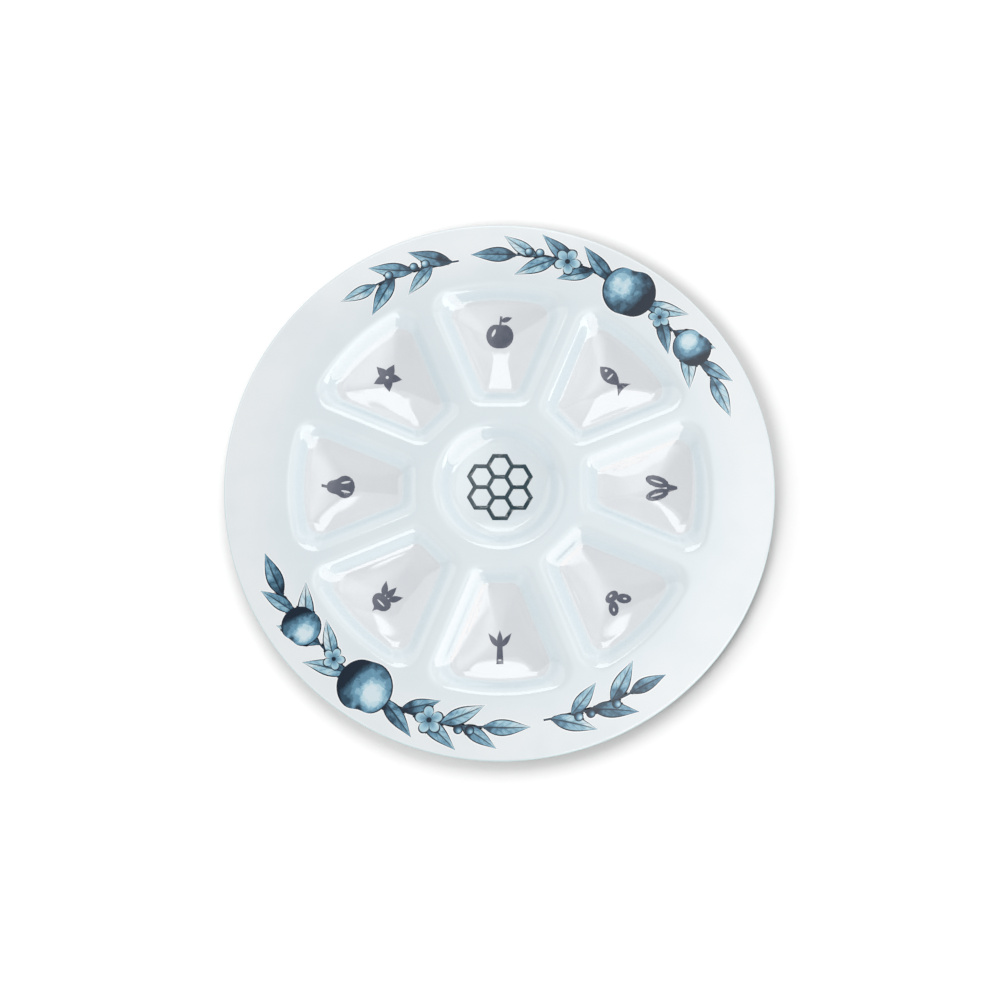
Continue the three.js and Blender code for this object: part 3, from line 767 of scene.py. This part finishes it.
# %% [markdown]
# A leaf is a grid pulled into shape: its rows run along the midrib, so U goes from stalk to tip and V from
# edge to edge. A round figure is a circle filled with a fan of triangles from its middle, and its UV map is
# its own plan.

# %% Shape the flat figures
def flat_grid(along, across, place):
    """A grid whose points go where place(share along, share across) says; its UV map keeps the shares."""
    deselect()
    bpy.ops.mesh.primitive_grid_add(x_subdivisions=along, y_subdivisions=across, size=2, calc_uvs=True)
    piece = bpy.context.object
    for vertex in piece.data.vertices:
        vertex.co = (*place((vertex.co.x + 1) / 2, vertex.co.y), 0)
    bpy.ops.object.mode_set(mode="EDIT")
    bpy.ops.mesh.select_all(action="SELECT")
    bpy.ops.mesh.remove_doubles(threshold=0.01 * MM)
    bpy.ops.object.mode_set(mode="OBJECT")
    return piece


def flat_leaf(length, width, bend, margin=0):
    def place(share, side):
        along = -margin / length + share * (1 + 2 * margin / length)
        half = leaf_half(along, width) + margin * math.sin(math.pi * share) ** 0.4
        return length * along, bend * length * max(0, along) ** 2 + side * half
    return flat_grid(18, 8, place)


def flat_round(reach, radius, margin=0, count=60):
    """A figure whose outline lies reach(angle, radius) from its middle."""
    deselect()
    bpy.ops.mesh.primitive_circle_add(vertices=count, radius=radius, fill_type="TRIFAN")
    piece = bpy.context.object
    for vertex in piece.data.vertices:
        if vertex.co.length > radius / 2:
            angle = math.atan2(vertex.co.y, vertex.co.x) % (2 * math.pi)
            far = reach(angle, radius) + margin
            vertex.co = (far * math.cos(angle), far * math.sin(angle), 0)
    shares = piece.data.uv_layers.active or piece.data.uv_layers.new(name="UVMap")
    for loop in piece.data.loops:
        x, y, _ = piece.data.vertices[loop.vertex_index].co
        shares.data[loop.index].uv = (0.5 + x / radius / 2, 0.5 + y / radius / 2)
    return piece


def flat_stem(start, end, middle, margin=0):
    def place(share, side):
        angle = start + share * (end - start)
        radius = stem_radius(angle, middle) + side * (STEM_WIDTH / 2 + margin)
        return radius * math.cos(angle), radius * math.sin(angle)
    piece = flat_grid(60, 3, place)
    piece.data.flip_normals()
    return piece


def on_rim(piece, angle, radius, lean=0):
    """Moves a flat figure to an angle round the rim, with its +Y pointing outwards and then leaning."""
    turn = Matrix.Rotation(angle - math.pi / 2 + lean, 4, "Z")
    place = Vector((radius * math.cos(angle), radius * math.sin(angle), 0))
    piece.data.transform(Matrix.Translation(place) @ turn)
    return piece


# %% [markdown]
# The washes are built like real ones: a pale pool, a darker pool where the brush left more paint, and a
# thin dark outline. Noise moves the borders of the pools, and each figure has its own tint.

# %% Mix the washes
NAVY = srgb(16, 34, 52)
DEEP_BLUE = srgb(50, 84, 106)
MID_BLUE = srgb(108, 156, 182)
PALE_BLUE = srgb(166, 205, 220)
FAINT_BLUE = srgb(212, 228, 234)
GLOSS = {"Roughness": 0.05, "Coat Weight": 0.6, "Coat Roughness": 0.02}


def enamel(name, colour_of):
    """A glossy enamel whose colour is worked out from the figure's UV map, a noise and its tint."""
    finish, tree = new_finish(name)
    across, up, _ = add_node(tree, "ShaderNodeSeparateXYZ", inputs={
        0: add_node(tree, "ShaderNodeUVMap", {"uv_map": "UVMap"})[0]})
    place = add_node(tree, "ShaderNodeTexCoord")[3]
    pool = add_node(tree, "ShaderNodeTexNoise", inputs={"Vector": place, "Scale": 170, "Detail": 4})[0]
    grain = add_node(tree, "ShaderNodeTexNoise", inputs={"Vector": place, "Scale": 900, "Detail": 2})[0]
    tint = add_node(tree, "ShaderNodeAttribute", {"attribute_name": "tint"})[2]
    colour = colour_of(tree, across, up, pool, grain, tint)
    shader = add_node(tree, "ShaderNodeBsdfPrincipled", inputs={"Base Color": colour, **GLOSS})[0]
    add_node(tree, "ShaderNodeOutputMaterial", inputs={0: shader})
    return finish


def wash(tree, amount):
    """The blues from the thickest paint, at 0, to the thinnest, at 1."""
    stops = [(0, NAVY), (0.3, DEEP_BLUE), (0.58, MID_BLUE), (0.82, PALE_BLUE), (1, FAINT_BLUE)]
    return add_node(tree, "ShaderNodeValToRGB", {"stops": stops}, {0: amount})[0]


# %% [markdown]
# A leaf runs from a dark stalk to a pale tip and has one half in the light. Its rib, its veins and its
# outline are drawn in the thickest paint.

# %% The wash of a leaf
def leaf_colour(tree, across, up, pool, grain, tint):
    side = up * 2 - 1
    away = side.math("ABSOLUTE")
    lit_half = side.step(-0.06, 0.06)
    thin = 0.44 + across * 0.34 + lit_half * 0.16 + (pool - 0.5) * 0.8 + (grain - 0.5) * 0.16 + tint
    base_pool = (across + (pool - 0.5) * 0.6).step(0.4, 0.12)
    veins = ((across * 6 - away * 1.5).math("FRACT") - 0.5).math("ABSOLUTE").step(0.12, 0.03)
    veins = veins * away.step(0.9, 0.55) * across.step(0.08, 0.2) * 0.42
    rib = away.step(0.15, 0.07) * across.step(1, 0.85)
    edge = away.step(0.8, 0.88)
    ink = (rib * 0.85).math("MAXIMUM", edge).math("MAXIMUM", veins)
    return mix(tree, ink, wash(tree, thin - base_pool * 0.24), NAVY)


# %% [markdown]
# An apple is lit from the upper left. Steps in the wash leave the hard borders that drying pools have, and
# faint streaks run from the stalk to the base.

# %% The wash of an apple
def fruit_colour(tree, across, up, pool, grain, tint):
    x, y = across * 2 - 1, up * 2 - 1
    radius = (x * x + y * y).math("SQRT")
    from_light = ((x + 0.34) * (x + 0.34) + (y - 0.18) * (y - 0.18) * 0.8).math("SQRT")
    streaks = ((x / (1.25 - y * y * 0.8) * 17).math("SINE") * 0.5 + 0.5) * 0.07
    thin = 1.0 - from_light * 0.74 + (pool - 0.5) * 0.8 + (grain - 0.5) * 0.12 - streaks + tint * 0.5
    bright = (from_light + (pool - 0.5) * 1.1).step(0.46, 0.36) * (from_light * 0.5).step(0.32, 0.2)
    thin = thin.math("SNAP", 0.17) * 0.6 + thin * 0.4 + bright * 0.2
    shade = (x * 0.8 - y * 0.5 + (pool - 0.5) * 0.6).step(0.36, 0.62)
    dimple = (x * x * 3 + (y - 0.86) * (y - 0.86)).math("SQRT").step(0.34, 0.1)
    edge = radius.step(0.925, 0.965)
    ink = (dimple * 0.85).math("MAXIMUM", edge)
    return mix(tree, ink, wash(tree, thin - shade * 0.34), NAVY)


# %% [markdown]
# A blossom's five petals are counted by its angle, with dark seams between them and a dark eye. Berries,
# stems and the white ground need little more than one colour.

# %% The washes of the small figures
def blossom_colour(tree, across, up, pool, grain, tint):
    x, y = across * 2 - 1, up * 2 - 1
    radius = (x * x + y * y).math("SQRT")
    angle = y.math("ARCTAN2", x)
    petal = (angle * 2.5).math("COSINE").math("ABSOLUTE")
    reach = petal.math("POWER", 0.7) * 0.5 + 0.5
    share = radius / reach
    rays = (angle * 30).math("SINE").step(0.3, 0.9) * share.step(0.7, 0.3) * 0.3
    thin = 0.5 + share * 0.42 + (pool - 0.5) * 0.4 - rays + tint * 0.5
    seam = petal.step(0.2, 0.06) * radius.step(0.1, 0.3)
    edge = share.step(0.86, 0.93)
    eye = radius.step(0.2, 0.16)
    ink = edge.math("MAXIMUM", seam).math("MAXIMUM", eye)
    return mix(tree, ink, wash(tree, thin), NAVY)


def berry_colour(tree, across, up, pool, grain, tint):
    x, y = across * 2 - 1, up * 2 - 1
    radius = (x * x + y * y).math("SQRT")
    from_light = ((x + 0.3) * (x + 0.3) + (y - 0.3) * (y - 0.3)).math("SQRT")
    return mix(tree, radius.step(0.72, 0.84), wash(tree, 0.95 - from_light * 0.8 + tint), NAVY)


def stem_colour(tree, across, up, pool, grain, tint):
    return wash(tree, 0.12 + (pool - 0.5) * 0.5)


def keyline_colour(tree, across, up, pool, grain, tint):
    return mix(tree, pool * 0.5, srgb(251, 252, 253), srgb(242, 246, 248))


washes = {
    "keyline": enamel("white ground", keyline_colour),
    "stem": enamel("stem wash", stem_colour),
    "leaf": enamel("leaf wash", leaf_colour),
    "blossom": enamel("blossom wash", blossom_colour),
    "berry": enamel("berry wash", berry_colour),
    "fruit": enamel("fruit wash", fruit_colour),
}
print("washes:", ", ".join(washes))

# %% [markdown]
# Each layer of figures lies a hundredth of a millimetre above the last, so the layer decides which figure
# covers which. The whole garland is then joined and given the thickness of paint.

# %% Keep the figures of one print together
PAINT_STEP = 0.01 * MM
PAINT_LIFT = 0.03 * MM
PAINT_THICKNESS = 0.006 * MM
random.seed(7)


class Painting:
    """The figures of one print, from the lowest up."""

    def __init__(self):
        self.pieces = []

    def lay(self, kind, piece, layer):
        tint = random.choice((-0.2, -0.05, 0.04, 0.1, 0.16))
        field = piece.data.attributes.new("tint", "FLOAT", "POINT")
        field.data.foreach_set("value", [tint] * len(piece.data.vertices))
        piece.data.transform(Matrix.Translation((0, 0, TOP + PAINT_LIFT + layer * PAINT_STEP)))
        piece.data.materials.clear()
        piece.data.materials.append(washes[kind])
        self.pieces.append(piece)

    def figure(self, kind, make, place, layer):
        """The figure and its white ground."""
        self.lay("keyline", place(make(KEYLINE)), 0)
        self.lay(kind, place(make(0)), layer)

    def join(self, name):
        piece = join(self.pieces, name)
        skin = piece.modifiers.new("paint", "SOLIDIFY")
        skin.thickness = PAINT_THICKNESS
        skin.offset = -1
        bpy.ops.object.modifier_apply(modifier=skin.name)
        return piece


# %% [markdown]
# Leaves stand on both sides of the stem in turn, and the one nearest the middle lies on top. The last
# leaf carries on the line of the stem.

# %% Lay leaves, berries and fruit
def spray(painting, start, way, count, middle, layer):
    """Leaves on both sides of the stem, the last one along it; way 1 is anticlockwise, -1 clockwise."""
    for i in reversed(range(count)):
        angle = start + way * i * LEAF_TURN
        side = 1 if i % 2 == 0 else -1
        lean = 0 if i == count - 1 else OUTER_LEAN if side == 1 else -INNER_LEAN
        size = SMALL_LEAF if i % 3 == 1 else 1
        facing = math.pi - lean if way == 1 else lean
        bend = -way * side * LEAF_BEND
        painting.figure(
            "leaf",
            lambda margin: flat_leaf(LEAF_LENGTH * size, LEAF_WIDTH * size, bend, margin),
            lambda piece: on_rim(piece, angle, stem_radius(angle, middle), facing),
            layer + count - i,
        )


def berries(painting, offsets, middle, layer):
    for offset in offsets:
        angle = middle + offset * MM / GARLAND_RADIUS
        radius = stem_radius(angle, middle) + BERRY_RADIUS - STEM_WIDTH / 2
        painting.figure(
            "berry",
            lambda margin: flat_round(lambda _, r: r, BERRY_RADIUS, margin, 32),
            lambda piece: on_rim(piece, angle, radius),
            layer,
        )


def fruit(painting, kind, reach, radius, angle, place_radius, lean, layer):
    painting.figure(
        kind,
        lambda margin: flat_round(reach, radius, margin),
        lambda piece: on_rim(piece, angle, place_radius, lean),
        layer,
    )


# %% [markdown]
# What hangs on a garland is written in millimetres: a radius, and a place along the stem counted
# anticlockwise from the garland's middle. Berries are all alike, so they have a place alone.

# %% Lay the garlands and the sprigs
APPLES = ((17.5, 0), (12.5, -55.4))
BLOSSOMS = ((9.5, 44.7), (7.5, -26.2))
GARLAND_BERRIES = (63.1, 70.1)
SPRIG_BERRIES = (-15.4, -7.7, 9.2)


def garland(middle, leaves=GARLAND_LEAVES):
    painting = Painting()
    reach = FIRST_LEAF + (leaves - 1) * LEAF_TURN + STEM_TAIL
    painting.figure("stem", lambda margin: flat_stem(middle - reach, middle + reach, middle, margin),
                    lambda piece: piece, 1)
    spray(painting, middle + FIRST_LEAF, 1, leaves, middle, 2)
    spray(painting, middle - FIRST_LEAF, -1, leaves, middle, 2)
    berries(painting, GARLAND_BERRIES, middle, 10)
    for radius, offset in APPLES:
        angle = middle + offset * MM / GARLAND_RADIUS
        fruit(painting, "fruit", apple_reach, radius * MM, angle, GARLAND_RADIUS, APPLE_LEAN, 11)
    for radius, offset in BLOSSOMS:
        angle = middle + offset * MM / GARLAND_RADIUS
        fruit(painting, "blossom", blossom_reach, radius * MM, angle, stem_radius(angle, middle), 0, 12)
    return painting


def sprig(middle, leaves=SPRIG_LEAVES):
    painting = Painting()
    reach = leaves * LEAF_TURN / 2
    painting.figure(
        "stem",
        lambda margin: flat_stem(middle - reach - STEM_TAIL, middle + reach - LEAF_TURN + STEM_TAIL,
                                 middle, margin),
        lambda piece: piece, 1)
    spray(painting, middle - reach, 1, leaves, middle, 2)
    berries(painting, SPRIG_BERRIES, middle, 8)
    return painting


for name, painting in (
    ("garland_upper_right", garland(GARLAND_MIDDLE)),
    ("garland_lower_left", garland(GARLAND_MIDDLE + math.pi)),
    ("sprig_upper_left", sprig(SPRIG_MIDDLE)),
    ("sprig_lower_right", sprig(SPRIG_MIDDLE + math.pi)),
):
    piece = painting.join("painted_" + name)
    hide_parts(name)
    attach(piece, "root")
    print(piece.name, len(piece.data.polygons), "faces")

# %% [markdown]
# ## The signs and the honeycomb
#
# The signs on the floors and the honeycomb in the well are flat drawings laid on curved glass. A copy of
# each packed drawing is cut into small squares, so that it can bend, and every point is then let down
# onto the face below it.

# %% Lay the signs and the honeycomb
SIGN_CELL = 2 * MM
SIGN_LIFT = 0.03 * MM
SIGN_THICKNESS = 0.03 * MM


def ink_finish(name, colour, worn):
    """A dark enamel, a little uneven where the screen left less of it."""
    finish, tree = new_finish(name)
    place = add_node(tree, "ShaderNodeTexCoord")[3]
    cloud = add_node(tree, "ShaderNodeTexNoise", inputs={"Vector": place, "Scale": 260, "Detail": 5})[0]
    speck = add_node(tree, "ShaderNodeTexNoise", inputs={"Vector": place, "Scale": 2600, "Detail": 1})[0]
    amount = cloud.step(0.35, 0.75) * 0.5 + speck.step(0.55, 0.75) * 0.35
    shader = add_node(tree, "ShaderNodeBsdfPrincipled", inputs={
        "Base Color": mix(tree, amount, colour, worn), **GLOSS})[0]
    add_node(tree, "ShaderNodeOutputMaterial", inputs={0: shader})
    return finish


def cut_into_squares(piece, cell):
    """Cuts a flat piece in edit mode along lines a cell apart, both ways, so that it can bend."""
    low = [min(v.co[axis] for v in piece.data.vertices) for axis in range(2)]
    high = [max(v.co[axis] for v in piece.data.vertices) for axis in range(2)]
    for axis in range(2):
        for i in range(1, math.ceil((high[axis] - low[axis]) / cell)):
            bpy.ops.mesh.select_all(action="SELECT")
            plane, facing = [0, 0, 0], [0, 0, 0]
            plane[axis] = low[axis] + i * cell
            facing[axis] = 1
            bpy.ops.mesh.bisect(plane_co=plane, plane_no=facing)


def laid_copy(node, name, ground):
    """A bendable copy of a packed print, let down onto the ground below it."""
    source = bpy.data.objects[node]
    deselect()
    source.select_set(True)
    bpy.context.view_layer.objects.active = source
    bpy.ops.object.duplicate()
    copy = bpy.context.object
    copy.name = name
    copy.data.transform(copy.matrix_world)
    copy.matrix_world = Matrix()
    bpy.ops.object.mode_set(mode="EDIT")
    bpy.ops.mesh.select_all(action="SELECT")
    bpy.ops.mesh.remove_doubles(threshold=0.001 * MM)
    cut_into_squares(copy, SIGN_CELL)
    bpy.ops.object.mode_set(mode="OBJECT")
    tree = BVHTree.FromObject(ground, bpy.context.evaluated_depsgraph_get())
    heights = []
    for vertex in copy.data.vertices:
        x, y, z = vertex.co
        hit = tree.ray_cast(Vector((x, y, 2 * TOP)), Vector((0, 0, -1)))[0]
        heights.append((hit.z, z - hit.z))
    gaps = sorted(gap for _, gap in heights)
    middle = (gaps[0] + gaps[-1]) / 2
    for vertex, (height, gap) in zip(copy.data.vertices, heights):
        vertex.co.z = height + SIGN_LIFT + (SIGN_THICKNESS if gap > middle else 0)
    bpy.ops.object.shade_smooth_by_angle(angle=math.radians(40))
    print(name, len(copy.data.polygons), "faces, gaps", round(gaps[0] / MM, 2), round(gaps[-1] / MM, 2))
    return copy


sign_finish = ink_finish("sign enamel", srgb(90, 95, 110), srgb(110, 114, 127))
emblem_finish = ink_finish("emblem enamel", srgb(38, 62, 72), srgb(70, 92, 102))
foods = ["dates", "fish", "apple", "seeds", "gourd", "beet", "leek", "beans"]
prints = [("sign_" + food, fields[i], sign_finish, "sign_enamel") for i, food in enumerate(foods)]
for node, ground, finish, slot in prints + [("honeycomb_emblem", plate, emblem_finish, "emblem_enamel")]:
    piece = laid_copy(node, "laid_" + node, ground)
    piece.data.materials.clear()
    piece.data.materials.append(finish)
    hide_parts(node)
    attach(piece, "root")

# %% [markdown]
# The view transform stays plain, so that a colour shows as it is written.

# %% Keep the view transform plain
bpy.context.scene.view_settings.view_transform = "Standard"
